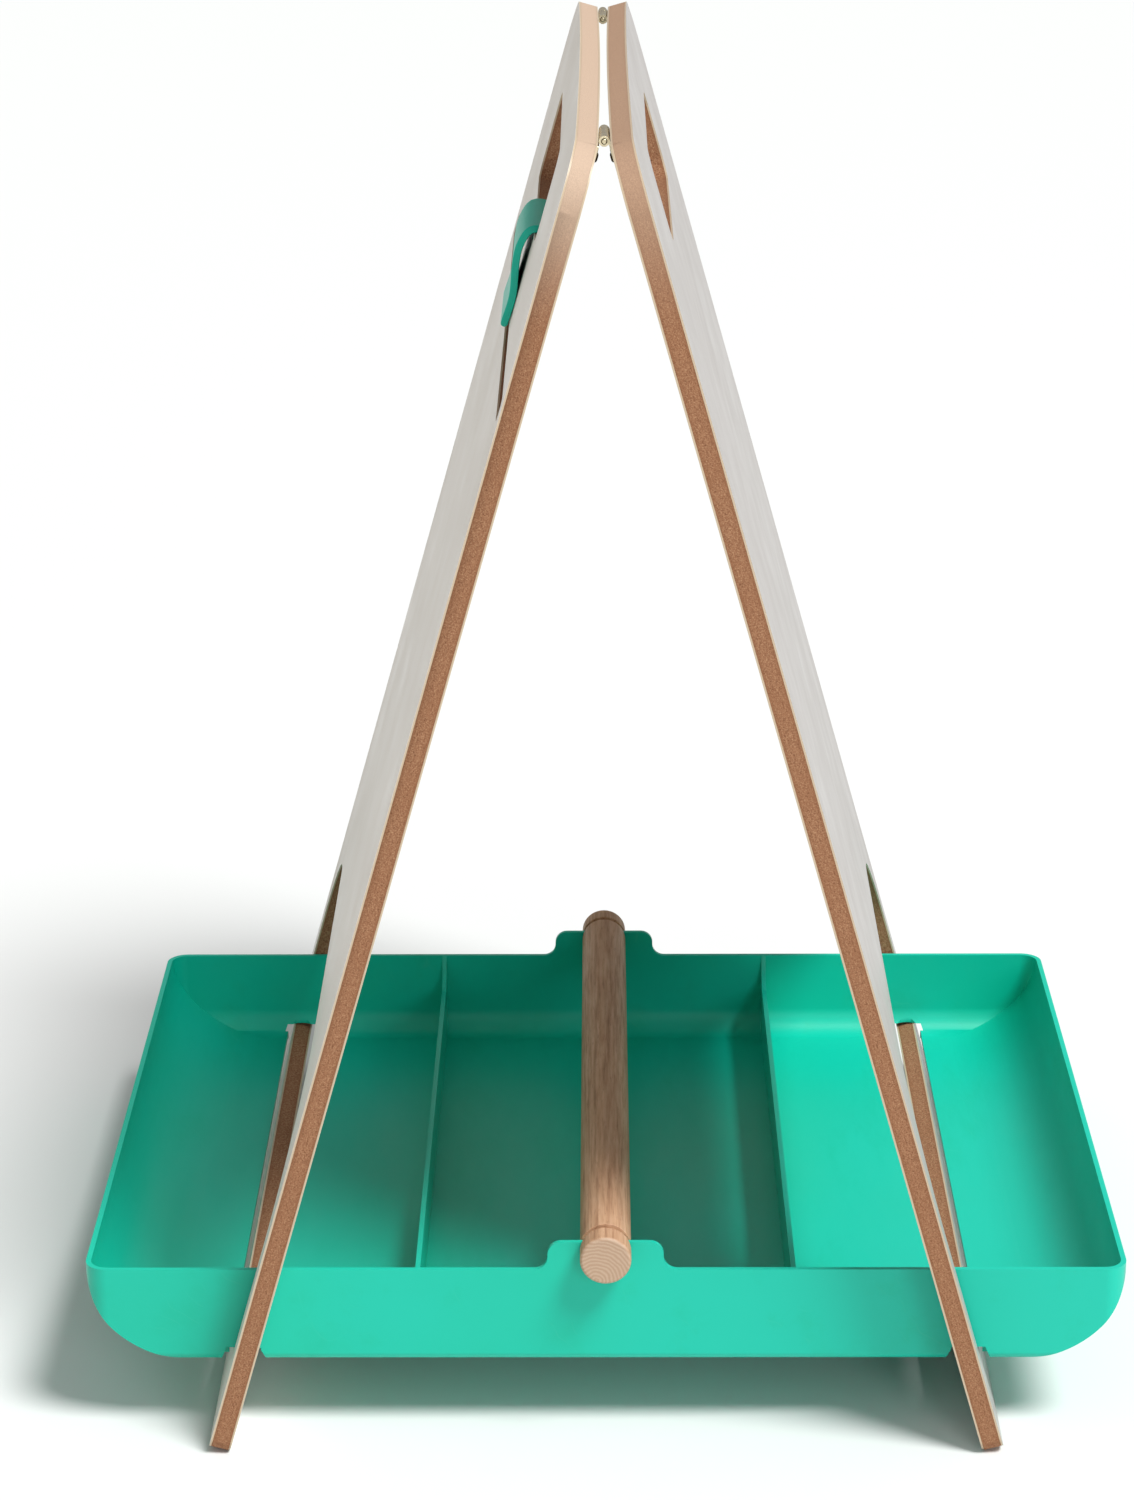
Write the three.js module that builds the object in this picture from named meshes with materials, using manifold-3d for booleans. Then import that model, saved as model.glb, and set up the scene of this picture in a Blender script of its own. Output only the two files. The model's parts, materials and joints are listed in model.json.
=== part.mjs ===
// Tabletop easel: two laminated boards hinged along the top as an A-frame. Their bottom rails
// carry a moulded tray that passes through a window in each board and has a round wooden handle.
// Millimetres, +Z up, origin on the floor under the middle of the tray. Y runs along the hinge line.
import * as THREE from "three";
import { mergeVertices } from "three/addons/utils/BufferGeometryUtils.js";
import Module from "manifold-3d";

const wasm = await Module();
wasm.setup();

// Gap kept between separate pieces that touch on the real object.
const TOUCH_GAP = 0.3;

// Boards
const LEAN_DEGREES = 15.87;
const BOARD_LENGTH = 589;
const LEG_WIDTH = 23;
const BOARD_TOP_RADIUS = 26;
const BOARD_TOP_CROWN = 3.8;
const BOARD_FOOT_RADIUS = 6;
const CORE_THICKNESS = 7;
const SKIN_THICKNESS = 0.8;
const TOP_EDGE_GAP = 1.4;
const SKIN_FOOT_SETBACK = 0.6;

// Hand opening near the top of each board, and the paper slot of the left board
const HAND_OPENING_WIDTH = 160;
const HAND_OPENING_HEIGHT = 40.5;
const HAND_OPENING_RADIUS = 10;
const HAND_OPENING_FROM_TOP = 29.5;
const PAPER_SLOT_SIDE_MARGIN = 16;
const PAPER_SLOT_HEIGHT = 10;
const PAPER_SLOT_BELOW_HAND = 41;

// Window low in each board
const WINDOW_SIDE_CLEARANCE = 2;
const WINDOW_RISE = 73;
const WINDOW_SHOULDER_WIDTH = 82;
const WINDOW_SHOULDER_RISE = 12;
const WINDOW_FOOT_RADIUS = 2;

// Tray
const TRAY_END_OVERHANG = 61.5;
const TRAY_WIDTH = 362;
const TRAY_HEIGHT = 43.7;
const TRAY_WALL = 2.3;
const TRAY_END_SWEEP = 48;
const TRAY_UNDERSIDE_HEIGHT = 32.2;
const TRAY_CORNER_RADIUS = 10;
const TRAY_OUTER_FILLET = 4;
const TRAY_INNER_FILLET = 12;
const DIVIDER_OFFSET = 82.5;
const DIVIDER_THICKNESS = 2.2;
const DIVIDER_DIP = 15;
const DIVIDER_DIP_RADIUS = 14;
const RAIL_ENGAGEMENT = 6.3;
const RAIL_SLOT_CLEARANCE = 1.6;
const RAIL_SLOT_END_MARGIN = 1;
const NOTCH_FLARE = 3;

// Tabs of the tray and the round handle that snaps into them
const TAB_TOP_WIDTH = 50;
const TAB_HEIGHT = 13;
const TAB_CORNER_RADIUS = 6;
const TAB_FOOT_RADIUS = 6;
const HANDLE_RADIUS = 11;
const HANDLE_NECK_DEPTH = 2.1;
const HANDLE_NECK_CLEARANCE = 0.4;
const HANDLE_AXIS_BELOW_TAB = 3.6;
const HANDLE_OVERHANG = 11;
const HANDLE_NECK_SIDE_GAP = 0.5;
const HANDLE_CHAMFER = 0.9;

// Hinges
const HINGE_LENGTH = 26;
const HINGE_FROM_SIDE = 46;
const HINGE_DROP = 4;
const KNUCKLE_RADIUS = 2.15;
const HINGE_PIN_RADIUS = 1;
const HINGE_PIN_CLEARANCE = 0.25;
const HINGE_PIN_PROUD = 0.5;
const KNUCKLE_COUNT = 3;
const LEAF_THICKNESS = 0.9;
const LEAF_HEIGHT = 13;
const SCREW_SPACING = 14;
const SCREW_DROP = 8;
const SCREW_HEAD_RADIUS = 2.1;
const SCREW_HEAD_HEIGHT = 0.8;
const SCREW_SHANK_RADIUS = 1;
const SCREW_DEPTH = 5;

// Paper clip
const CLIP_WIDTH = 60;
const CLIP_THICKNESS = 3.2;
const CLIP_END_MARGIN = 24;
const CLIP_FRONT_REACH = 41;
const CLIP_BACK_REACH = 24;
const CLIP_BULGE = 2.4;

// Derived places
const lean = THREE.MathUtils.degToRad(LEAN_DEGREES);
const skinPitch = SKIN_THICKNESS + TOUCH_GAP;
const innerFace = -skinPitch;
const outerFace = CORE_THICKNESS + skinPitch;
const footX = TOP_EDGE_GAP + BOARD_LENGTH * Math.sin(lean) + skinPitch * Math.cos(lean);
const trayLength = 2 * (footX + TRAY_END_OVERHANG);
const windowHalfWidth = TRAY_WIDTH / 2 + WINDOW_SIDE_CLEARANCE;
const boardHalfWidth = windowHalfWidth + LEG_WIDTH;
const rimHeight = TRAY_UNDERSIDE_HEIGHT + TRAY_HEIGHT;
const tabTop = rimHeight + TAB_HEIGHT;
const handleAxisHeight = tabTop - HANDLE_AXIS_BELOW_TAB;
const railTopHeight = TRAY_UNDERSIDE_HEIGHT + RAIL_ENGAGEMENT;
const railWidth = (railTopHeight - outerFace * Math.sin(lean)) / Math.cos(lean);
const railInnerX = footX + innerFace / Math.cos(lean) - railTopHeight * Math.tan(lean);
const railOuterX = footX + outerFace / Math.cos(lean) - TRAY_UNDERSIDE_HEIGHT * Math.tan(lean);
const railSlotLeft = railInnerX - RAIL_SLOT_CLEARANCE;
const railSlotRight = railOuterX + RAIL_SLOT_CLEARANCE;
const rimAlongBoard = rimHeight / Math.cos(lean);
const windowTop = rimAlongBoard + WINDOW_RISE;
const handOpeningFoot = BOARD_LENGTH - HAND_OPENING_FROM_TOP - HAND_OPENING_HEIGHT;
const paperSlotTop = handOpeningFoot - PAPER_SLOT_BELOW_HAND;
const hingeCentre = boardHalfWidth - HINGE_FROM_SIDE;
const hingeAlongBoard = BOARD_LENGTH - HINGE_DROP;
const hingeOffBoard = (hingeAlongBoard * Math.sin(lean) - footX) / Math.cos(lean);

const handleNeckRadius = HANDLE_RADIUS - HANDLE_NECK_DEPTH;
const clipOffset = HAND_OPENING_WIDTH / 2 - CLIP_END_MARGIN - CLIP_WIDTH / 2;

const materials = {
  core: new THREE.MeshStandardMaterial({ color: 0xac7e5e, roughness: 0.85, metalness: 0 }),
  skin: new THREE.MeshStandardMaterial({ color: 0xe6e0d8, roughness: 0.45, metalness: 0 }),
  plastic: new THREE.MeshStandardMaterial({ color: 0x1dbf9f, roughness: 0.4, metalness: 0 }),
  beech: new THREE.MeshStandardMaterial({ color: 0xa98468, roughness: 0.6, metalness: 0 }),
  brass: new THREE.MeshStandardMaterial({ color: 0xcdb27a, roughness: 0.3, metalness: 1 }),
  steel: new THREE.MeshStandardMaterial({ color: 0x4a4238, roughness: 0.45, metalness: 1 }),
};

// Solids and geometries

function solid(geometry) {
  const bare = geometry.index ? geometry.toNonIndexed() : geometry.clone();
  bare.deleteAttribute("normal");
  bare.deleteAttribute("uv");
  const merged = mergeVertices(bare, 1e-4);
  return new wasm.Manifold(
    new wasm.Mesh({
      numProp: 3,
      vertProperties: new Float32Array(merged.attributes.position.array),
      triVerts: new Uint32Array(merged.index.array),
    }),
  );
}

function surface(body) {
  const mesh = body.getMesh();
  const geometry = new THREE.BufferGeometry();
  geometry.setAttribute("position", new THREE.BufferAttribute(mesh.vertProperties, 3));
  geometry.setIndex(new THREE.BufferAttribute(mesh.triVerts, 1));
  const flat = geometry.toNonIndexed();
  flat.computeVertexNormals();
  return flat;
}

function piece(name, geometry, material) {
  const mesh = new THREE.Mesh(geometry, material);
  mesh.name = name;
  return mesh;
}

// A shape extruded along +Z from bottom to top.
function slab(shape, bottom, top, curveSegments = 10) {
  const options = { depth: top - bottom, bevelEnabled: false, curveSegments };
  return new THREE.ExtrudeGeometry(shape, options).translate(0, 0, bottom);
}

// A shape drawn in X and Z, extruded along Y from low to high.
function slabAlongY(shape, low, high, curveSegments = 10) {
  return slab(shape, -high, -low, curveSegments).rotateX(Math.PI / 2);
}

// A shape drawn in Y and Z, extruded along X from low to high.
function slabAlongX(shape, low, high, curveSegments = 10) {
  return slab(shape, low, high, curveSegments).rotateX(Math.PI / 2).rotateZ(Math.PI / 2);
}

function polygon(points) {
  return new THREE.Shape(points.map(([x, y]) => new THREE.Vector2(x, y)));
}

function roundedRectangle(path, left, bottom, right, top, radius) {
  path.moveTo(left + radius, bottom);
  path.lineTo(right - radius, bottom);
  path.absarc(right - radius, bottom + radius, radius, -Math.PI / 2, 0, false);
  path.lineTo(right, top - radius);
  path.absarc(right - radius, top - radius, radius, 0, Math.PI / 2, false);
  path.lineTo(left + radius, top);
  path.absarc(left + radius, top - radius, radius, Math.PI / 2, Math.PI, false);
  path.lineTo(left, bottom + radius);
  path.absarc(left + radius, bottom + radius, radius, Math.PI, 1.5 * Math.PI, false);
  return path;
}

// A cylinder along Z from bottom to top.
function rod(radius, bottom, top, sides = 24) {
  return new THREE.CylinderGeometry(radius, radius, top - bottom, sides)
    .rotateX(Math.PI / 2)
    .translate(0, 0, (bottom + top) / 2);
}

// Boards are drawn flat: X across the board, Y up along it from the foot, Z out from the core's
// inner face.

// The top edge is a shallow arch between the two round corners.
function boardOutline(foot) {
  const side = boardHalfWidth;
  const footInset = side - BOARD_FOOT_RADIUS;
  const footCentre = foot + BOARD_FOOT_RADIUS;
  const topInset = side - BOARD_TOP_RADIUS;
  const slope = Math.atan2(2 * BOARD_TOP_CROWN, topInset);
  const archHalf = topInset + BOARD_TOP_RADIUS * Math.sin(slope);
  const archRise = archHalf * Math.tan(slope);
  const archFoot = BOARD_LENGTH - archRise / 2;
  const topCentre = archFoot - BOARD_TOP_RADIUS * Math.cos(slope);
  const outline = new THREE.Shape();
  outline.moveTo(-footInset, foot);
  outline.lineTo(footInset, foot);
  outline.absarc(footInset, footCentre, BOARD_FOOT_RADIUS, -Math.PI / 2, 0, false);
  outline.absarc(topInset, topCentre, BOARD_TOP_RADIUS, 0, Math.PI / 2 - slope, false);
  outline.quadraticCurveTo(0, archFoot + archRise, -archHalf, archFoot);
  outline.absarc(-topInset, topCentre, BOARD_TOP_RADIUS, Math.PI / 2 + slope, Math.PI, false);
  outline.absarc(-footInset, footCentre, BOARD_FOOT_RADIUS, Math.PI, 1.5 * Math.PI, false);
  return outline;
}

// Straight sides that clear the tray, then elliptical shoulders up to a flat top.
function windowOutline() {
  const shoulder = rimAlongBoard + WINDOW_SHOULDER_RISE;
  const flatHalf = windowHalfWidth - WINDOW_SHOULDER_WIDTH;
  const rise = windowTop - shoulder;
  const radius = WINDOW_FOOT_RADIUS;
  const path = new THREE.Path();
  path.moveTo(-windowHalfWidth + radius, railWidth);
  path.lineTo(windowHalfWidth - radius, railWidth);
  path.absarc(windowHalfWidth - radius, railWidth + radius, radius, -Math.PI / 2, 0, false);
  path.absellipse(flatHalf, shoulder, WINDOW_SHOULDER_WIDTH, rise, 0, Math.PI / 2, false, 0);
  path.absellipse(-flatHalf, shoulder, WINDOW_SHOULDER_WIDTH, rise, Math.PI / 2, Math.PI, false, 0);
  path.absarc(-windowHalfWidth + radius, railWidth + radius, radius, Math.PI, 1.5 * Math.PI, false);
  return path;
}

function handOpening() {
  const half = HAND_OPENING_WIDTH / 2;
  const top = handOpeningFoot + HAND_OPENING_HEIGHT;
  return roundedRectangle(new THREE.Path(), -half, handOpeningFoot, half, top, HAND_OPENING_RADIUS);
}

function paperSlot() {
  const foot = paperSlotTop - PAPER_SLOT_HEIGHT;
  const half = boardHalfWidth - PAPER_SLOT_SIDE_MARGIN;
  const radius = PAPER_SLOT_HEIGHT / 2 - 0.01;
  return roundedRectangle(new THREE.Path(), -half, foot, half, paperSlotTop, radius);
}

function screwPlaces() {
  const places = [];
  for (const centre of [-hingeCentre, hingeCentre]) {
    for (const side of [-1, 1]) {
      places.push([centre + (side * SCREW_SPACING) / 2, hingeAlongBoard - SCREW_DROP]);
    }
  }
  return places;
}

function boardLayer(bottom, top, foot, hasSlot, screwHoleDepth) {
  const outline = boardOutline(foot);
  outline.holes.push(windowOutline());
  outline.holes.push(handOpening());
  if (hasSlot) {
    outline.holes.push(paperSlot());
  }
  let layer = solid(slab(outline, bottom, top, 12));
  if (screwHoleDepth > bottom) {
    for (const [x, y] of screwPlaces()) {
      const drill = rod(SCREW_SHANK_RADIUS + TOUCH_GAP, bottom - 1, screwHoleDepth, 16);
      layer = layer.subtract(solid(drill.translate(x, y, 0)));
    }
  }
  return surface(layer);
}

// Hinge leaf on one board. Its knuckles are the even or the odd ones along the pin.
function hingeLeaf(centre, firstKnuckle) {
  const back = innerFace - TOUCH_GAP;
  const front = back - LEAF_THICKNESS;
  const half = HINGE_LENGTH / 2;
  const pitch = HINGE_LENGTH / KNUCKLE_COUNT;
  const plateTop = hingeAlongBoard - KNUCKLE_RADIUS - TOUCH_GAP;
  const plateFoot = hingeAlongBoard - LEAF_HEIGHT;
  const plateShape = roundedRectangle(new THREE.Shape(), -half, plateFoot, half, plateTop, 0.6);
  let leaf = solid(slab(plateShape, front, back, 4));
  for (let i = firstKnuckle; i < KNUCKLE_COUNT; i += 2) {
    const low = -half + i * pitch + TOUCH_GAP / 2;
    const high = -half + (i + 1) * pitch - TOUCH_GAP / 2;
    const tongue = polygon([[low, plateTop - 1], [high, plateTop - 1],
      [high, hingeAlongBoard], [low, hingeAlongBoard]]);
    const knuckle = rod(KNUCKLE_RADIUS, low, high, 28).rotateY(Math.PI / 2);
    leaf = leaf.add(solid(slab(tongue, front, back)));
    leaf = leaf.add(solid(knuckle.translate(0, hingeAlongBoard, hingeOffBoard)));
  }
  const bore = rod(HINGE_PIN_RADIUS + HINGE_PIN_CLEARANCE, -half - 1, half + 1, 20);
  leaf = leaf.subtract(
    solid(bore.rotateY(Math.PI / 2).translate(0, hingeAlongBoard, hingeOffBoard)),
  );
  for (const side of [-1, 1]) {
    const hole = rod(SCREW_SHANK_RADIUS + TOUCH_GAP, front - 1, back + 1, 16);
    const x = (side * SCREW_SPACING) / 2;
    leaf = leaf.subtract(solid(hole.translate(x, hingeAlongBoard - SCREW_DROP, 0)));
  }
  return surface(leaf).translate(centre, 0, 0);
}

// Domed-head screw from the leaf into the core.
function hingeScrew() {
  const headBase = innerFace - 2 * TOUCH_GAP - LEAF_THICKNESS;
  const tip = SCREW_DEPTH;
  const profile = [
    [0, headBase - SCREW_HEAD_HEIGHT],
    [SCREW_HEAD_RADIUS * 0.6, headBase - SCREW_HEAD_HEIGHT * 0.9],
    [SCREW_HEAD_RADIUS * 0.9, headBase - SCREW_HEAD_HEIGHT * 0.5],
    [SCREW_HEAD_RADIUS, headBase],
    [SCREW_SHANK_RADIUS, headBase],
    [SCREW_SHANK_RADIUS, tip - SCREW_SHANK_RADIUS],
    [0, tip],
  ];
  const points = profile.map(([r, z]) => new THREE.Vector2(r, z));
  return new THREE.LatheGeometry(points, 16).rotateX(Math.PI / 2);
}

// Centre line of the clip, from its front tip over the edge of the hand opening to its back tip.
function clipCentreLine() {
  const half = CLIP_THICKNESS / 2;
  const near = half + TOUCH_GAP;
  const edge = handOpeningFoot;
  const middle = (innerFace + outerFace) / 2;
  const bulge = near + CLIP_BULGE;
  const points = [
    [outerFace + near + 0.3, edge - CLIP_FRONT_REACH],
    [outerFace + near, edge - CLIP_FRONT_REACH * 0.7],
    [outerFace + bulge, edge - CLIP_FRONT_REACH * 0.36],
    [outerFace + bulge + 0.4, edge - CLIP_FRONT_REACH * 0.16],
    [outerFace + near, edge + half * 0.7],
    [middle, edge + near + 0.6],
    [innerFace - near, edge + half * 0.5],
    [innerFace - bulge, edge - CLIP_BACK_REACH * 0.3],
    [innerFace - near, edge - CLIP_BACK_REACH * 0.8],
    [innerFace - near - 0.3, edge - CLIP_BACK_REACH],
  ];
  return new THREE.CatmullRomCurve3(
    points.map(([off, along]) => new THREE.Vector3(-off, along, 0)),
    false,
    "centripetal",
  );
}

// A band of the clip's thickness along its centre line, with round tips.
function clipOutline() {
  const half = CLIP_THICKNESS / 2;
  const curve = clipCentreLine();
  const steps = 48;
  const front = [];
  const back = [];
  for (let i = 0; i <= steps; i += 1) {
    const point = curve.getPointAt(i / steps);
    const tangent = curve.getTangentAt(i / steps);
    front.push(new THREE.Vector2(point.x - tangent.y * half, point.y + tangent.x * half));
    back.push(new THREE.Vector2(point.x + tangent.y * half, point.y - tangent.x * half));
  }
  const roundTip = (at) => {
    const point = curve.getPointAt(at);
    const tangent = curve.getTangentAt(at);
    const direction = Math.atan2(tangent.y, tangent.x) + (at === 1 ? 0 : Math.PI);
    const tip = [];
    for (let i = 1; i < 6; i += 1) {
      const angle = direction + Math.PI / 2 - (i * Math.PI) / 6;
      tip.push(new THREE.Vector2(point.x + half * Math.cos(angle), point.y + half * Math.sin(angle)));
    }
    return tip;
  };
  return new THREE.Shape([...front, ...roundTip(1), ...back.reverse(), ...roundTip(0)]);
}

function paperClip() {
  return slab(clipOutline(), -CLIP_WIDTH / 2, CLIP_WIDTH / 2).rotateY(Math.PI / 2);
}

// Tray

function trayProfile(inset, top) {
  const end = trayLength / 2 - inset;
  const sweepX = TRAY_END_SWEEP - inset;
  const sweepZ = TRAY_HEIGHT - inset;
  const shape = new THREE.Shape();
  shape.moveTo(-end, top);
  shape.lineTo(-end, rimHeight);
  shape.absellipse(-end + sweepX, rimHeight, sweepX, sweepZ, Math.PI, 1.5 * Math.PI, false, 0);
  shape.absellipse(end - sweepX, rimHeight, sweepX, sweepZ, 1.5 * Math.PI, 2 * Math.PI, false, 0);
  shape.lineTo(end, top);
  return shape;
}

function trayCrossSection(inset, fillet, top) {
  const side = TRAY_WIDTH / 2 - inset;
  const foot = TRAY_UNDERSIDE_HEIGHT + inset;
  const shape = new THREE.Shape();
  shape.moveTo(-side, top);
  shape.lineTo(-side, foot + fillet);
  shape.absarc(-side + fillet, foot + fillet, fillet, Math.PI, 1.5 * Math.PI, false);
  shape.absarc(side - fillet, foot + fillet, fillet, 1.5 * Math.PI, 2 * Math.PI, false);
  shape.lineTo(side, top);
  return shape;
}

function trayBlock(inset, fillet, top) {
  const reach = trayLength;
  const plan = roundedRectangle(
    new THREE.Shape(),
    -trayLength / 2 + inset,
    -TRAY_WIDTH / 2 + inset,
    trayLength / 2 - inset,
    TRAY_WIDTH / 2 - inset,
    TRAY_CORNER_RADIUS - inset,
  );
  return solid(slabAlongY(trayProfile(inset, top), -reach, reach, 14))
    .intersect(solid(slabAlongX(trayCrossSection(inset, fillet, top), -reach, reach, 8)))
    .intersect(solid(slab(plan, 0, top + 1, 6)));
}

// Tab above the middle of a long wall, with filleted feet.
function tabOutline() {
  const half = TAB_TOP_WIDTH / 2;
  const shape = new THREE.Shape();
  const footHalf = half + TAB_FOOT_RADIUS;
  const footCentre = rimHeight + TAB_FOOT_RADIUS;
  const topCentre = tabTop - TAB_CORNER_RADIUS;
  shape.moveTo(-footHalf, rimHeight - TRAY_WALL);
  shape.lineTo(footHalf, rimHeight - TRAY_WALL);
  shape.lineTo(footHalf, rimHeight);
  shape.absarc(footHalf, footCentre, TAB_FOOT_RADIUS, 1.5 * Math.PI, Math.PI, true);
  shape.absarc(half - TAB_CORNER_RADIUS, topCentre, TAB_CORNER_RADIUS, 0, Math.PI / 2, false);
  shape.absarc(-half + TAB_CORNER_RADIUS, topCentre, TAB_CORNER_RADIUS, Math.PI / 2, Math.PI, false);
  shape.absarc(-footHalf, footCentre, TAB_FOOT_RADIUS, 0, 1.5 * Math.PI, true);
  return shape;
}

// Divider with its top edge scooped down between the long walls.
function dividerOutline() {
  const side = TRAY_WIDTH / 2 - TRAY_WALL / 2;
  const foot = TRAY_UNDERSIDE_HEIGHT + TRAY_WALL / 2;
  const inner = TRAY_WIDTH / 2 - TRAY_WALL;
  const dipTop = rimHeight - DIVIDER_DIP;
  const shape = new THREE.Shape();
  shape.moveTo(-side, foot);
  shape.lineTo(side, foot);
  shape.lineTo(side, rimHeight);
  shape.lineTo(inner, rimHeight);
  shape.quadraticCurveTo(inner - DIVIDER_DIP_RADIUS * 0.3, dipTop, inner - DIVIDER_DIP_RADIUS, dipTop);
  shape.lineTo(-inner + DIVIDER_DIP_RADIUS, dipTop);
  shape.quadraticCurveTo(-inner + DIVIDER_DIP_RADIUS * 0.3, dipTop, -inner, rimHeight);
  shape.lineTo(-side, rimHeight);
  return shape;
}

// Channel for one rail: wide enough at the underside and at the rail's top for the leaning board.
function railChannelOutline() {
  const top = railTopHeight + TOUCH_GAP;
  const below = TRAY_UNDERSIDE_HEIGHT - 1;
  return polygon([
    [railSlotLeft - NOTCH_FLARE, below],
    [railSlotRight + NOTCH_FLARE, below],
    [railSlotRight, top],
    [railSlotLeft, top],
  ]);
}

function railSlotOutline() {
  const half = TRAY_WIDTH / 2 - TRAY_WALL - RAIL_SLOT_END_MARGIN;
  const radius = (railSlotRight - railSlotLeft) / 2 - 0.01;
  const shape = new THREE.Shape();
  return roundedRectangle(shape, railSlotLeft, -half, railSlotRight, half, radius);
}

function trayBody() {
  let tray = trayBlock(0, TRAY_OUTER_FILLET, rimHeight);
  tray = tray.subtract(trayBlock(TRAY_WALL, TRAY_INNER_FILLET, rimHeight + 1));
  for (const side of [-1, 1]) {
    const x = side * DIVIDER_OFFSET;
    const halfThickness = DIVIDER_THICKNESS / 2;
    tray = tray.add(solid(slabAlongX(dividerOutline(), x - halfThickness, x + halfThickness, 8)));
    const wallOuter = TRAY_WIDTH / 2;
    const wallInner = wallOuter - TRAY_WALL;
    const low = side > 0 ? wallInner : -wallOuter;
    tray = tray.add(solid(slabAlongY(tabOutline(), low, low + TRAY_WALL, 6)));
  }
  const seat = rod(handleNeckRadius + HANDLE_NECK_CLEARANCE, -TRAY_WIDTH, TRAY_WIDTH, 48);
  tray = tray.subtract(solid(seat.rotateX(Math.PI / 2).translate(0, 0, handleAxisHeight)));
  // The notches start where the slots' round ends have taken a quarter of the clearance.
  const slotRadius = (railSlotRight - railSlotLeft) / 2;
  const narrowed = slotRadius - RAIL_SLOT_CLEARANCE / 4;
  const roundEnd = slotRadius - Math.sqrt(slotRadius ** 2 - narrowed ** 2);
  const outer = TRAY_WIDTH / 2 + 1;
  const inner = TRAY_WIDTH / 2 - TRAY_WALL - RAIL_SLOT_END_MARGIN - roundEnd;
  for (const turn of [0, Math.PI]) {
    const slot = slab(railSlotOutline(), TRAY_UNDERSIDE_HEIGHT - 1, rimHeight, 8);
    tray = tray.subtract(solid(slot.rotateZ(turn)));
    for (const low of [-outer, inner]) {
      const notch = slabAlongY(railChannelOutline(), low, low + outer - inner);
      tray = tray.subtract(solid(notch.rotateZ(turn)));
    }
  }
  return surface(tray);
}

function handle() {
  const half = TRAY_WIDTH / 2 + HANDLE_OVERHANG;
  const neckOuter = TRAY_WIDTH / 2 + HANDLE_NECK_SIDE_GAP;
  const neckInner = TRAY_WIDTH / 2 - TRAY_WALL - HANDLE_NECK_SIDE_GAP;
  const right = [
    [HANDLE_RADIUS, neckInner],
    [handleNeckRadius, neckInner],
    [handleNeckRadius, neckOuter],
    [HANDLE_RADIUS, neckOuter],
    [HANDLE_RADIUS, half - HANDLE_CHAMFER],
    [HANDLE_RADIUS - HANDLE_CHAMFER, half],
    [0, half],
  ];
  const left = right.map(([r, y]) => [r, -y]).reverse();
  const points = [...left, ...right].map(([r, y]) => new THREE.Vector2(r, y));
  return new THREE.LatheGeometry(points, 40);
}

// Assembly

// One board with its hinge leaves and screws, drawn flat and then leaned. firstKnuckle tells which
// knuckles its leaves carry.
function boardAssembly(side, hasSlot, firstKnuckle) {
  const board = new THREE.Group();
  const leaning = new THREE.Matrix4().makeBasis(
    new THREE.Vector3(0, 1, 0),
    new THREE.Vector3(-Math.sin(lean), 0, Math.cos(lean)),
    new THREE.Vector3(Math.cos(lean), 0, Math.sin(lean)),
  );
  board.applyMatrix4(leaning.setPosition(footX, 0, 0));
  const foot = SKIN_FOOT_SETBACK;
  const skinInside = boardLayer(innerFace, -TOUCH_GAP, foot, hasSlot, 0);
  const core = boardLayer(0, CORE_THICKNESS, 0, hasSlot, SCREW_DEPTH + TOUCH_GAP);
  const skinOutside = boardLayer(CORE_THICKNESS + TOUCH_GAP, outerFace, 0, hasSlot, 0);
  board.add(piece(side + "_board_core", core, materials.core));
  board.add(piece(side + "_board_inner_skin", skinInside, materials.skin));
  board.add(piece(side + "_board_outer_skin", skinOutside, materials.skin));
  const turned = side === "left" ? -1 : 1;
  for (const end of ["near", "far"]) {
    const centre = (end === "near" ? -hingeCentre : hingeCentre) * turned;
    const leaf = hingeLeaf(centre, firstKnuckle);
    board.add(piece(side + "_hinge_leaf_" + end, leaf, materials.brass));
    for (const number of [1, 2]) {
      const screw = piece(side + "_screw_" + end + "_" + number, hingeScrew(), materials.steel);
      const offset = (number === 1 ? -SCREW_SPACING : SCREW_SPACING) / 2;
      screw.position.set(centre + offset * turned, hingeAlongBoard - SCREW_DROP, 0);
      board.add(screw);
    }
  }
  return board;
}

const easel = new THREE.Group();

const rightSide = new THREE.Group();
rightSide.add(boardAssembly("right", false, 0));
easel.add(rightSide);

const leftSide = new THREE.Group();
leftSide.rotation.z = Math.PI;
const leftBoard = boardAssembly("left", true, 1);
const clip = piece("paper_clip", paperClip(), materials.plastic);
clip.position.x = clipOffset;
leftBoard.add(clip);
leftSide.add(leftBoard);
easel.add(leftSide);

const hingeHeight = hingeAlongBoard * Math.cos(lean) + hingeOffBoard * Math.sin(lean);
for (const [end, side] of [["near", -1], ["far", 1]]) {
  const halfPin = HINGE_LENGTH / 2 + HINGE_PIN_PROUD;
  const pinShape = rod(HINGE_PIN_RADIUS, -halfPin, halfPin, 20).rotateX(Math.PI / 2);
  const pin = piece("hinge_pin_" + end, pinShape, materials.brass);
  pin.position.set(0, side * hingeCentre, hingeHeight);
  easel.add(pin);
}

easel.add(piece("tray", trayBody(), materials.plastic));

const handleBar = piece("handle_dowel", handle(), materials.beech);
handleBar.position.z = handleAxisHeight;
easel.add(handleBar);

export default easel;
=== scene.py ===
import json
import math

import bpy
from mathutils import Matrix, Vector


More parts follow.
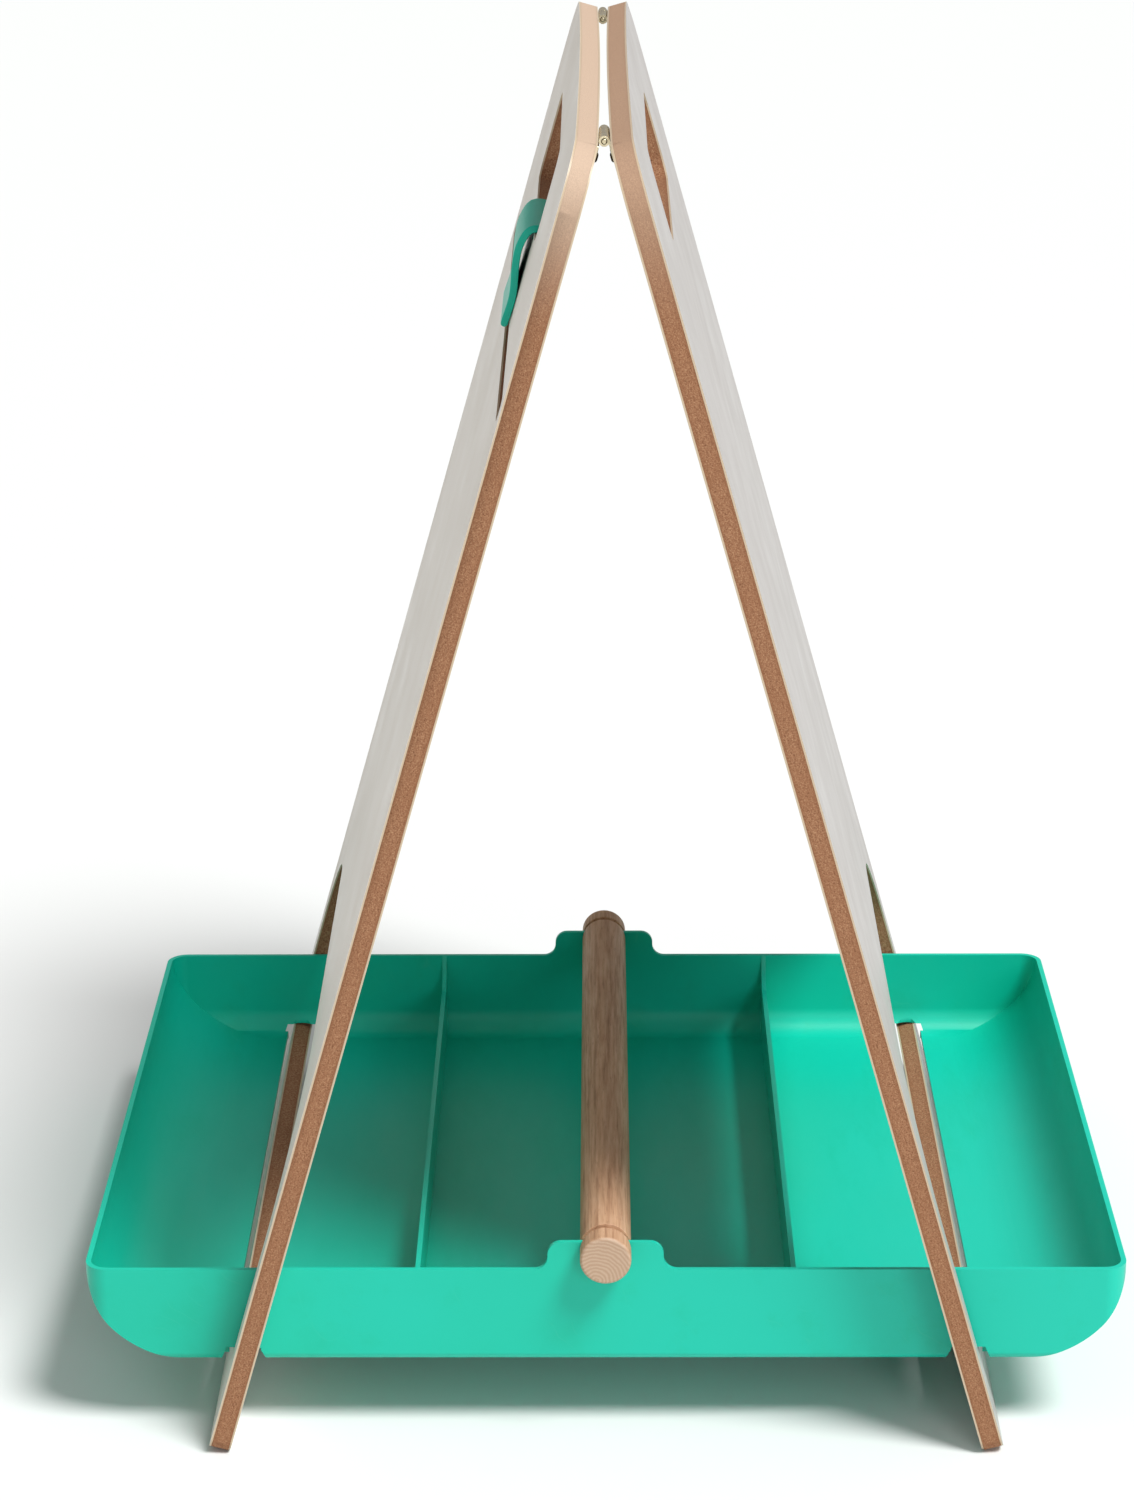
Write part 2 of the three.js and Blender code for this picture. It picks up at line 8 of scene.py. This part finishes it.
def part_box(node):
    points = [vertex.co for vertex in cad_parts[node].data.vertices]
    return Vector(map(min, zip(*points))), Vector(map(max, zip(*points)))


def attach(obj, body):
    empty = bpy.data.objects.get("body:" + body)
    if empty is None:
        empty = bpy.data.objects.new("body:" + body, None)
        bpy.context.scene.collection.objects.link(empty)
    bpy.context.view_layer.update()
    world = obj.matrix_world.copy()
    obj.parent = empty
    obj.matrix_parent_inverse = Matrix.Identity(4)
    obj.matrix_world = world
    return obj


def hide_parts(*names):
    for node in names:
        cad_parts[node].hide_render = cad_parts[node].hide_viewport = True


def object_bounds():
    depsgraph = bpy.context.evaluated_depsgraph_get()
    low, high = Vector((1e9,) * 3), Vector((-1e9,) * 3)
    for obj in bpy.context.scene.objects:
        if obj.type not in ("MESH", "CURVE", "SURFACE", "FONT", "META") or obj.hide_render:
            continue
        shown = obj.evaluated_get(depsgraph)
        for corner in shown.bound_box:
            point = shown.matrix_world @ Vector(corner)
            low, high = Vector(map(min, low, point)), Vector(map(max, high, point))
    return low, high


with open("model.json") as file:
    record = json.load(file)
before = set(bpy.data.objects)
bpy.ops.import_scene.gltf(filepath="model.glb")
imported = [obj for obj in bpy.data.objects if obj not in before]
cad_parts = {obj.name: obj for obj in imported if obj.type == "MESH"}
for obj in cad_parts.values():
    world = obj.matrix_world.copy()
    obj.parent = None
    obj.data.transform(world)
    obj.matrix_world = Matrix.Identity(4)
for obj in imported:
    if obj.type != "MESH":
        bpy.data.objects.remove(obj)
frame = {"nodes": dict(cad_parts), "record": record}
cadLow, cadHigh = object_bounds()
cadNodes = frame["nodes"]
mounts = {mount["name"]: mount for mount in frame["record"]["mounts"]}
mm = 0.001
print("frame loaded,", len(cadNodes), "nodes")


# small tools used all over

meshing = {
    "mergeWithin": 0.002 * mm,
    "flatWithin": math.radians(0.4),
    "smoothUpTo": math.radians(40),
    "faceWeight": 90,
}


def setMode(mode):
    if bpy.context.mode.split("_")[0] != mode:
        bpy.ops.object.mode_set(mode=mode)


def pickOnly(piece):
    setMode("OBJECT")
    bpy.ops.object.select_all(action="DESELECT")
    piece.select_set(True)
    bpy.context.view_layer.objects.active = piece


def link(name, data):
    thing = bpy.data.objects.new(name, data)
    bpy.context.scene.collection.objects.link(thing)
    return thing


def rgb(red, green, blue):
    def linear(value):
        value = value / 255
        return value / 12.92 if value <= 0.04045 else ((value + 0.055) / 1.055) ** 2.4
    return (linear(red), linear(green), linear(blue), 1)


# a merged copy of a CAD node, to be worked on by hand
def copyOfNode(nodeName, pieceName):
    piece = link(pieceName, cadNodes[nodeName].data.copy())
    pickOnly(piece)
    setMode("EDIT")
    bpy.ops.mesh.select_all(action="SELECT")
    bpy.ops.mesh.remove_doubles(threshold=meshing["mergeWithin"])
    bpy.ops.mesh.dissolve_limited(angle_limit=meshing["flatWithin"])
    setMode("OBJECT")
    return piece


# arris is a width, a number of segments and the least angle in degrees that gets rounded
def roundEdges(piece, arris):
    width, segments, sharpFrom = arris
    pickOnly(piece)
    bevel = piece.modifiers.new("arris", "BEVEL")
    bevel.width = width
    bevel.segments = segments
    bevel.limit_method = "ANGLE"
    bevel.angle_limit = math.radians(sharpFrom)
    bevel.miter_outer = "MITER_ARC"
    bpy.ops.object.modifier_apply(modifier="arris")
    bpy.ops.object.shade_smooth_by_angle(angle=meshing["smoothUpTo"])
    weighted = piece.modifiers.new("flatFaces", "WEIGHTED_NORMAL")
    weighted.keep_sharp = True
    weighted.weight = meshing["faceWeight"]
    bpy.ops.object.modifier_apply(modifier="flatFaces")


def settle(piece, body, paint, nodeName):
    piece.data.materials.clear()
    piece.data.materials.append(paint)
    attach(piece, body)
    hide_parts(nodeName)


def roundedPiece(nodeName, pieceName, arris, body, paint):
    piece = copyOfNode(nodeName, pieceName)
    roundEdges(piece, arris)
    settle(piece, body, paint, nodeName)


# camera, with its angles in degrees

camera = {
    "lens": 93.78,
    "sensorLongSide": 36,
    "pitch": 19.023,
    "yaw": -0.484,
    "roll": -0.26,
    "distance": 1.7955,
    "target": (-0.01712, 0, 0.25),
    "clip": (0.05, 50),
}


def placeCamera():
    pitch = math.radians(camera["pitch"])
    yaw = math.radians(camera["yaw"])
    roll = math.radians(camera["roll"])
    forward = Vector((math.sin(yaw) * math.cos(pitch), math.cos(yaw) * math.cos(pitch),
                      -math.sin(pitch)))
    level = Vector((math.cos(yaw), -math.sin(yaw), 0))
    upright = level.cross(forward)
    right = level * math.cos(roll) + upright * math.sin(roll)
    up = upright * math.cos(roll) - level * math.sin(roll)
    lensData = bpy.data.cameras.new("studioCamera")
    lensData.sensor_width = camera["sensorLongSide"]
    lensData.lens = camera["lens"]
    lensData.clip_start, lensData.clip_end = camera["clip"]
    eye = link("studioCamera", lensData)
    turn = Matrix((right, up, -forward)).transposed()
    spot = Vector(camera["target"]) - forward * camera["distance"]
    eye.matrix_world = Matrix.Translation(spot) @ turn.to_4x4()
    bpy.context.scene.camera = eye


placeCamera()
print("camera placed")


# shader nodes, shared by all finishes; a noise is given as scale, detail, roughness,
# stretch and turn, and a bump as strength and depth

noiseCore = (0.3, 0.7)  # most of a noise's values lie in here


def newPaint(name, roughness, specular, metallic=0):
    paint = bpy.data.materials.new(name)
    paint.use_nodes = True
    shader = paint.node_tree.nodes["Principled BSDF"]
    shader.inputs["Roughness"].default_value = roughness
    shader.inputs["Specular IOR Level"].default_value = specular
    shader.inputs["Metallic"].default_value = metallic
    return paint, paint.node_tree, shader


# joins an output to a socket, or gives the socket a constant
def feed(tree, value, socket):
    if hasattr(value, "is_output"):
        tree.links.new(value, socket)
    else:
        socket.default_value = value


def addPlace(tree):
    return tree.nodes.new("ShaderNodeTexCoord").outputs["Object"]


def addMapping(tree, place, scale=(1, 1, 1), turn=(0, 0, 0), shift=(0, 0, 0)):
    mapping = tree.nodes.new("ShaderNodeMapping")
    mapping.inputs["Scale"].default_value = scale
    mapping.inputs["Rotation"].default_value = turn
    mapping.inputs["Location"].default_value = shift
    tree.links.new(place, mapping.inputs["Vector"])
    return mapping.outputs["Vector"]


def addSplit(tree, vector):
    split = tree.nodes.new("ShaderNodeSeparateXYZ")
    tree.links.new(vector, split.inputs[0])
    return split.outputs


def addNoise(tree, place, scale, detail, rough=0.5, stretch=None, turn=(0, 0, 0)):
    noise = tree.nodes.new("ShaderNodeTexNoise")
    noise.inputs["Scale"].default_value = scale
    noise.inputs["Detail"].default_value = detail
    noise.inputs["Roughness"].default_value = rough
    if stretch:
        place = addMapping(tree, place, stretch, turn)
    tree.links.new(place, noise.inputs["Vector"])
    return noise.outputs["Fac"]


def addWave(tree, place, wave):
    waves = tree.nodes.new("ShaderNodeTexWave")
    waves.wave_type = wave["type"]
    if wave["type"] == "RINGS":
        waves.rings_direction = wave["direction"]
    else:
        waves.bands_direction = wave["direction"]
    waves.inputs["Scale"].default_value = wave["scale"]
    waves.inputs["Distortion"].default_value = wave["distortion"]
    waves.inputs["Detail"].default_value = wave["detail"]
    waves.inputs["Detail Scale"].default_value = wave["detailScale"]
    tree.links.new(place, waves.inputs["Vector"])
    return waves.outputs["Fac"]


def addRamp(tree, value, stops):
    ramp = tree.nodes.new("ShaderNodeValToRGB")
    while len(ramp.color_ramp.elements) < len(stops):
        ramp.color_ramp.elements.new(0.5)
    for element, (where, color) in zip(ramp.color_ramp.elements, stops):
        element.position = where
        element.color = color
    tree.links.new(value, ramp.inputs["Fac"])
    return ramp.outputs["Color"]


def addRange(tree, value, source, target, smooth=False):
    span = tree.nodes.new("ShaderNodeMapRange")
    if smooth:
        span.interpolation_type = "SMOOTHSTEP"
    span.inputs["From Min"].default_value, span.inputs["From Max"].default_value = source
    span.inputs["To Min"].default_value, span.inputs["To Max"].default_value = target
    tree.links.new(value, span.inputs["Value"])
    return span.outputs["Result"]


def addMix(tree, share, first, second):
    mix = tree.nodes.new("ShaderNodeMix")
    mix.data_type = "RGBA"
    feed(tree, share, mix.inputs[0])
    feed(tree, first, mix.inputs[6])
    feed(tree, second, mix.inputs[7])
    return mix.outputs[2]


def addMath(tree, operation, first, second=0.0):
    step = tree.nodes.new("ShaderNodeMath")
    step.operation = operation
    feed(tree, first, step.inputs[0])
    feed(tree, second, step.inputs[1])
    return step.outputs[0]


# gives the shader its bump, and its colour and roughness where they vary
def finishPaint(tree, shader, height, bumpSize, color=None, roughness=None):
    if color:
        tree.links.new(color, shader.inputs["Base Color"])
    if roughness:
        tree.links.new(roughness, shader.inputs["Roughness"])
    bump = tree.nodes.new("ShaderNodeBump")
    bump.inputs["Strength"].default_value, bump.inputs["Distance"].default_value = bumpSize
    tree.links.new(height, bump.inputs["Height"])
    tree.links.new(bump.outputs["Normal"], shader.inputs["Normal"])


# studio: pale floor, white surroundings, a broad sun and one soft lamp

studio = {
    "floorSize": 60,
    "floorColor": rgb(230, 230, 228),
    "floorRoughness": 0.7,
    "floorSpecular": 0.5,
    "floorGrain": (260, 3),
    "floorBump": (0.05, 0.0003),
    "surround": rgb(255, 255, 255),
    "surroundStrength": 0.36,
    "sunFrom": (0.42, -0.31, 0.85),
    "sunStrength": 3.6,
    "sunSpread": 20,
    "sunColor": rgb(252, 254, 255),
    "lampPlace": (0.9, -2.2, 0.75),
    "lampAim": (0, 0, 0.15),
    "lampSize": 0.8,
    "lampWatts": 9,
    "lampColor": rgb(246, 252, 255),
}


def paintFloor():
    paint, tree, shader = newPaint("studioFloor", studio["floorRoughness"],
                                   studio["floorSpecular"])
    shader.inputs["Base Color"].default_value = studio["floorColor"]
    grain = addNoise(tree, addPlace(tree), *studio["floorGrain"])
    finishPaint(tree, shader, grain, studio["floorBump"])
    return paint


def layFloor():
    bpy.ops.object.select_all(action="DESELECT")
    bpy.ops.mesh.primitive_plane_add(size=studio["floorSize"], location=(0, 0, cadLow.z))
    floor = bpy.context.object
    floor.name = "studioFloor"
    bpy.ops.object.transform_apply(location=True, rotation=True, scale=True)
    floor.data.materials.append(paintFloor())


# lights the easel softly, but is plain white where the camera sees it
def hangSurround():
    surround = bpy.data.worlds.new("studioSurround")
    surround.use_nodes = True
    tree = surround.node_tree
    sky = tree.nodes["Background"]
    sky.inputs["Color"].default_value = studio["surround"]
    ray = tree.nodes.new("ShaderNodeLightPath").outputs["Is Camera Ray"]
    strength = addRange(tree, ray, (0, 1), (studio["surroundStrength"], 1))
    tree.links.new(strength, sky.inputs["Strength"])
    bpy.context.scene.world = surround


def hangLights():
    sunData = bpy.data.lights.new("keySun", "SUN")
    sunData.energy = studio["sunStrength"]
    sunData.angle = math.radians(studio["sunSpread"])
    sunData.color = studio["sunColor"][:3]
    sun = link("keySun", sunData)
    sun.rotation_euler = Vector(studio["sunFrom"]).to_track_quat("Z", "Y").to_euler()
    lampData = bpy.data.lights.new("frontLamp", "AREA")
    lampData.shape = "DISK"
    lampData.size = studio["lampSize"]
    lampData.energy = studio["lampWatts"]
    lampData.color = studio["lampColor"][:3]
    lamp = link("frontLamp", lampData)
    lamp.location = studio["lampPlace"]
    beam = Vector(studio["lampAim"]) - lamp.location
    lamp.rotation_euler = beam.to_track_quat("-Z", "Y").to_euler()


layFloor()
hangSurround()
hangLights()
bpy.context.scene.view_settings.view_transform = "Standard"
print("studio built")


# boards: a fibreboard core between two laminate skins

boards = {
    "facePitch": 1.1 * mm,
    "coreThickness": 7 * mm,
    "coreGrowth": 0.26 * mm,
    "faceOn": 0.99,
    "coreSmoothUpTo": math.radians(30),
    "skinArris": (0.22 * mm, 2, 40),
}

fibre = {
    "roughness": 0.86,
    "specular": 0.25,
    "speckle": (1500, 5, 0.75),
    "speckleStops": [
        (0.38, rgb(98, 57, 36)), (0.47, rgb(152, 105, 75)),
        (0.54, rgb(163, 118, 86)), (0.61, rgb(194, 152, 116))],
    "streaks": (700, 4, 0.65, (1.4, 1.4, 0.6)),
    "streakStops": [
        (0.36, rgb(98, 57, 36)), (0.52, rgb(152, 105, 75)), (0.70, rgb(194, 152, 116))],
    "streakShare": 0.28,
    "dense": rgb(130, 85, 57),
    "denseOffset": (0.0016, 0.0037),
    "denseShare": 0.42,
    "clouds": (38, 3, 0.5),
    "cloud": rgb(143, 95, 65),
    "cloudShare": 0.35,
    # painted light: the paler colour of each board's upper outer edges, and how strongly it is
    # mixed in towards the top
    "paintedLightColor": {"left": rgb(206, 182, 160), "right": rgb(184, 154, 130)},
    "paintedLightHeight": (0.49, 0.562),
    "paintedLightShare": {"left": 0.8, "right": 0.66},
    "sideInset": (0.024, 0.012),
    "topAlong": (0.532, 0.536),
    "gloss": (0.92, 0.74),
    "bump": (0.6, 0.0003),
}

laminate = {
    "roughness": 0.42,
    "specular": 0.45,
    "haze": (5.5, 3, 0.55),
    "hazeSpan": (0.32, 0.68),
    "hazeShare": 0.8,
    "color": {"left": rgb(238, 231, 222), "right": rgb(168, 166, 166)},
    "shade": {"left": rgb(232, 224, 214), "right": rgb(163, 160, 160)},
    "fine": (640, 3, 0.6),
    "fleck": {"left": rgb(222, 212, 200), "right": rgb(155, 151, 150)},
    "fleckSpan": (0.55, 0.75),
    "fleckShare": 0.16,
    "edge": rgb(196, 174, 146),
    "edgeOffset": (0.00448, 0.00462),
    "smears": (21, 4, 0.6, (1, 0.8, 1)),
    "gloss": (0.34, 0.52),
    "bump": (0.12, 0.00004),
}


# coordinates in a board: X through its thickness from the middle, Y across, Z up along it
def addBoardPlace(tree, place, side):
    face = mounts[side + "_board_face"]
    axis = Vector(face["axis"])
    turn = -math.asin(axis.z) if side == "left" else math.asin(axis.z)
    middle = Vector(face["pos_m"]).dot(axis) - boards["facePitch"] - boards["coreThickness"] / 2
    shift = middle if side == "left" else -middle
    return addMapping(tree, place, turn=(0, turn, 0), shift=(shift, 0, 0))


# painted light: the outer edges are painted paler towards the top, the left board more than the
# right, not the walls of the openings, which lie in shade
def addPaintedLight(tree, place, along, side):
    world = addSplit(tree, place)
    paintedLightRise = addRange(tree, world["Z"], fibre["paintedLightHeight"], (0, fibre["paintedLightShare"][side]), True)
    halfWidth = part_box(side + "_board_core")[1].y
    across = addMath(tree, "ABSOLUTE", world["Y"])
    inset = [halfWidth - depth for depth in fibre["sideInset"]]
    outerSide = addRange(tree, across, inset, (0, 1))
    outerTop = addRange(tree, along, fibre["topAlong"], (0, 1))
    return addMath(tree, "MULTIPLY", paintedLightRise, addMath(tree, "MAXIMUM", outerSide, outerTop))


def paintFibreboard(side):
    paint, tree, shader = newPaint(side + "Fibreboard", fibre["roughness"], fibre["specular"])
    place = addPlace(tree)
    local = addBoardPlace(tree, place, side)
    speckle = addNoise(tree, local, *fibre["speckle"])
    streaks = addNoise(tree, local, *fibre["streaks"])
    clouds = addNoise(tree, local, *fibre["clouds"])
    color = addRamp(tree, speckle, fibre["speckleStops"])
    streakColor = addRamp(tree, streaks, fibre["streakStops"])
    color = addMix(tree, fibre["streakShare"], color, streakColor)
    axes = addSplit(tree, local)
    offset = addMath(tree, "ABSOLUTE", axes["X"])
    dense = addRange(tree, offset, fibre["denseOffset"], (0, fibre["denseShare"]), True)
    color = addMix(tree, dense, color, fibre["dense"])
    tone = addRange(tree, clouds, noiseCore, (0, fibre["cloudShare"]))
    color = addMix(tree, tone, color, fibre["cloud"])
    # painted light: paler towards the top of the outer edges
    paintedLightMask = addPaintedLight(tree, place, axes["Z"], side)
    color = addMix(tree, paintedLightMask, color, fibre["paintedLightColor"][side])
    roughness = addRange(tree, speckle, noiseCore, fibre["gloss"])
    height = addMath(tree, "ADD", speckle, streaks)
    finishPaint(tree, shader, height, fibre["bump"], color, roughness)
    return paint


def paintLaminate(side):
    paint, tree, shader = newPaint(side + "Laminate", laminate["roughness"],
                                   laminate["specular"])
    local = addBoardPlace(tree, addPlace(tree), side)
    haze = addNoise(tree, local, *laminate["haze"])
    fine = addNoise(tree, local, *laminate["fine"])
    smears = addNoise(tree, local, *laminate["smears"])
    tone = addRange(tree, haze, laminate["hazeSpan"], (0, laminate["hazeShare"]), True)
    color = addMix(tree, tone, laminate["color"][side], laminate["shade"][side])
    flecks = addRange(tree, fine, laminate["fleckSpan"], (0, laminate["fleckShare"]))
    color = addMix(tree, flecks, color, laminate["fleck"][side])
    # the sheet's cut edge shows its cream paper under the white surface
    offset = addMath(tree, "ABSOLUTE", addSplit(tree, local)["X"])
    edge = addRange(tree, offset, laminate["edgeOffset"], (1, 0))
    color = addMix(tree, edge, color, laminate["edge"])
    roughness = addRange(tree, smears, noiseCore, laminate["gloss"])
    finishPaint(tree, shader, fine, laminate["bump"], color, roughness)
    return paint


# pushes the core's faces out to the glue under both skins
def growCore(core, axis):
    for way in (axis, -axis):
        pickOnly(core)
        setMode("EDIT")
        bpy.ops.mesh.select_mode(type="FACE")
        bpy.ops.mesh.select_all(action="DESELECT")
        setMode("OBJECT")
        for face in core.data.polygons:
            face.select = face.normal.dot(way) > boards["faceOn"]
        setMode("EDIT")
        bpy.ops.transform.translate(value=way * boards["coreGrowth"])
        setMode("OBJECT")


# lifts what the growth pushed under the floor back onto it
def levelFoot(core):
    setMode("EDIT")
    bpy.ops.mesh.select_mode(type="VERT")
    bpy.ops.mesh.select_all(action="DESELECT")
    setMode("OBJECT")
    lowest = min(corner.co.z for corner in core.data.vertices)
    for corner in core.data.vertices:
        corner.select = corner.co.z < cadLow.z
    setMode("EDIT")
    bpy.ops.transform.translate(value=(0, 0, max(0, cadLow.z - lowest)))
    setMode("OBJECT")


def buildBoard(side):
    body = side + "_board"
    core = copyOfNode(body + "_core", side + "BoardCore")
    growCore(core, Vector(mounts[body + "_face"]["axis"]))
    levelFoot(core)
    bpy.ops.object.shade_smooth_by_angle(angle=boards["coreSmoothUpTo"])
    settle(core, body, paintFibreboard(side), body + "_core")
    paint = paintLaminate(side)
    for where in ("inner", "outer"):
        pieceName = side + "Board" + where.capitalize() + "Skin"
        roundedPiece(body + "_" + where + "_skin", pieceName, boards["skinArris"],
                     body, paint)


buildBoard("right")
buildBoard("left")
print("boards built")


# moulded plastic of the tray and the clip

moulding = {
    "roughness": 0.36,
    "specular": 0.4,
    "flow": (7, 3, 0.5, (1, 0.6, 1)),
    "flowSpan": (0.34, 0.66),
    "base": rgb(0, 186, 156),
    "light": rgb(2, 190, 164),
    "rub": (34, 5, 0.65, (1, 0.25, 1), (0, 0, 0.5)),
    "dullSpan": (0.52, 0.74),
    "dullShare": 0.5,
    "deep": rgb(0, 180, 146),
    "scratches": {
        "type": "BANDS", "direction": "DIAGONAL", "scale": 46, "distortion": 26,
        "detail": 3, "detailScale": 0.35},
    "scratchSpan": (0.985, 1.0),
    "scratchShare": 0.25,
    "scuff": rgb(96, 208, 184),
    "glossSpan": (0.3, 0.75),
    "gloss": (0.34, 0.48),
    "spark": (1500, 2, 0.5),
    "bump": (0.10, 0.00003),
    "trayArris": (0.55 * mm, 3, 34),
    "clipArris": (0.5 * mm, 3, 40),
}


def paintPlastic():
    paint, tree, shader = newPaint("greenPlastic", moulding["roughness"], moulding["specular"])
    place = addPlace(tree)
    flow = addNoise(tree, place, *moulding["flow"])
    spark = addNoise(tree, place, *moulding["spark"])
    rub = addNoise(tree, place, *moulding["rub"])
    tone = addRange(tree, flow, moulding["flowSpan"], (0, 1), True)
    color = addMix(tree, tone, moulding["base"], moulding["light"])
    dull = addRange(tree, rub, moulding["dullSpan"], (0, moulding["dullShare"]), True)
    color = addMix(tree, dull, color, moulding["deep"])
    # fine hairline scratches, only where the surface is rubbed dull
    waves = addWave(tree, place, moulding["scratches"])
    hair = addRange(tree, waves, moulding["scratchSpan"], (0, moulding["scratchShare"]))
    color = addMix(tree, addMath(tree, "MULTIPLY", hair, dull), color, moulding["scuff"])
    roughness = addRange(tree, rub, moulding["glossSpan"], moulding["gloss"])
    finishPaint(tree, shader, spark, moulding["bump"], color, roughness)
    return paint


greenPlastic = paintPlastic()
roundedPiece("tray", "mouldedTray", moulding["trayArris"], "tray", greenPlastic)
roundedPiece("paper_clip", "slidingClip", moulding["clipArris"], "clip",
             greenPlastic)
print("tray and clip built")


# round beech handle

handle = {
    "roughness": 0.58,
    "specular": 0.35,
    "pith": (0.004, 0.009),
    "streaks": (620, 5, 0.62, (1, 0.05, 1)),
    "streakStops": [
        (0.30, rgb(146, 104, 76)), (0.46, rgb(186, 143, 110)), (0.66, rgb(206, 166, 134))],
    "rings": {
        "type": "RINGS", "direction": "Y", "scale": 190, "distortion": 3.2,
        "detail": 3, "detailScale": 1.4},
    "ringStretch": (1, 0.06, 1),
    "ringStops": [
        (0.0, rgb(186, 143, 110)), (0.6, rgb(206, 166, 134)), (1.0, rgb(146, 104, 76))],
    "ringShare": 0.25,
    "flecks": (1300, 3, 0.6, (1, 0.09, 1)),
    "fleck": rgb(146, 104, 76),
    "fleckSpan": (0.58, 0.70),
    "fleckShare": 0.45,
    "endDepth": (0.0012, 0.0003),
    "endStops": [(0.0, rgb(192, 164, 140)), (1.0, rgb(176, 144, 118))],
    "pore": rgb(176, 144, 118),
    "pores": (1500, 4, 0.7),
    "poreSpan": (0.5, 0.7),
    "poreShare": 0.6,
    "gloss": (0.66, 0.48),
    "bump": (0.28, 0.00016),
    "arris": (0.35 * mm, 2, 35),
}


def paintBeech():
    paint, tree, shader = newPaint("handleBeech", handle["roughness"], handle["specular"])
    place = addPlace(tree)
    low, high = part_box("handle_dowel")
    centre = (low + high) / 2
    pithX, pithZ = handle["pith"]
    local = addMapping(tree, place, shift=(pithX - centre.x, 0, pithZ - centre.z))
    streaks = addNoise(tree, local, *handle["streaks"])
    flecks = addNoise(tree, local, *handle["flecks"])
    rings = addWave(tree, addMapping(tree, local, handle["ringStretch"]), handle["rings"])
    color = addRamp(tree, streaks, handle["streakStops"])
    color = addMix(tree, handle["ringShare"], color, addRamp(tree, rings, handle["ringStops"]))
    dark = addRange(tree, flecks, handle["fleckSpan"], (0, handle["fleckShare"]), True)
    color = addMix(tree, dark, color, handle["fleck"])
    # end grain
    reach = addMath(tree, "ABSOLUTE", addSplit(tree, place)["Y"])
    atEnd = addRange(tree, reach, [high.y - depth for depth in handle["endDepth"]], (0, 1), True)
    pores = addNoise(tree, place, *handle["pores"])
    porous = addRange(tree, pores, handle["poreSpan"], (0, handle["poreShare"]))
    endColor = addRamp(tree, rings, handle["endStops"])
    endColor = addMix(tree, porous, endColor, handle["pore"])
    color = addMix(tree, atEnd, color, endColor)
    roughness = addRange(tree, streaks, noiseCore, handle["gloss"])
    height = addMath(tree, "ADD", streaks, flecks)
    finishPaint(tree, shader, height, handle["bump"], color, roughness)
    return paint


roundedPiece("handle_dowel", "handleDowel", handle["arris"], "handle", paintBeech())
print("handle built")


# hinges and screws

hardware = {
    "brassRoughness": 0.28,
    "brassSpecular": 0.5,
    "brassClouds": (190, 4, 0.6),
    "brassStops": [
        (0.30, rgb(204, 180, 132)), (0.5, rgb(238, 224, 190)), (0.8, rgb(238, 224, 190))],
    "brushed": (1500, 3, 0.6, (1, 0.05, 1)),
    "tarnish": rgb(150, 124, 84),
    "tarnishSpan": (0.60, 0.80),
    "tarnishShare": 0.4,
    "brassGloss": (0.2, 0.42),
    "brassBump": (0.15, 0.00003),
    "bronzeRoughness": 0.4,
    "bronzeSpecular": 0.5,
    "wear": (700, 4, 0.65),
    "bronzeStops": [(0.42, rgb(74, 62, 52)), (0.70, rgb(128, 108, 84))],
    "bronzeGloss": (0.34, 0.52),
    "bronzeBump": (0.2, 0.00003),
    "leafArris": (0.14 * mm, 2, 40),
    "screwArris": (0.08 * mm, 2, 40),
    "pinArris": (0.3 * mm, 3, 40),
}


def paintBrass():
    paint, tree, shader = newPaint("hingeBrass", hardware["brassRoughness"],
                                   hardware["brassSpecular"], 1)
    place = addPlace(tree)
    clouds = addNoise(tree, place, *hardware["brassClouds"])
    brushed = addNoise(tree, place, *hardware["brushed"])
    color = addRamp(tree, clouds, hardware["brassStops"])
    spots = addRange(tree, brushed, hardware["tarnishSpan"], (0, hardware["tarnishShare"]))
    color = addMix(tree, spots, color, hardware["tarnish"])
    roughness = addRange(tree, brushed, noiseCore, hardware["brassGloss"])
    finishPaint(tree, shader, brushed, hardware["brassBump"], color, roughness)
    return paint


def paintBronze():
    paint, tree, shader = newPaint("screwBronze", hardware["bronzeRoughness"],
                                   hardware["bronzeSpecular"], 1)
    wear = addNoise(tree, addPlace(tree), *hardware["wear"])
    color = addRamp(tree, wear, hardware["bronzeStops"])
    roughness = addRange(tree, wear, noiseCore, hardware["bronzeGloss"])
    finishPaint(tree, shader, wear, hardware["bronzeBump"], color, roughness)
    return paint


def buildHardware():
    brass = paintBrass()
    bronze = paintBronze()
    for side in ("right", "left"):
        body = side + "_board"
        for end in ("near", "far"):
            roundedPiece(side + "_hinge_leaf_" + end, side + "HingeLeaf" + end.capitalize(),
                         hardware["leafArris"], body, brass)
            for number in ("1", "2"):
                roundedPiece(side + "_screw_" + end + "_" + number,
                             side + "Screw" + end.capitalize() + number,
                             hardware["screwArris"], body, bronze)
    for end in ("near", "far"):
        roundedPiece("hinge_pin_" + end, "hingePin" + end.capitalize(),
                     hardware["pinArris"], "right_board", brass)


buildHardware()
print("hinges and screws built")
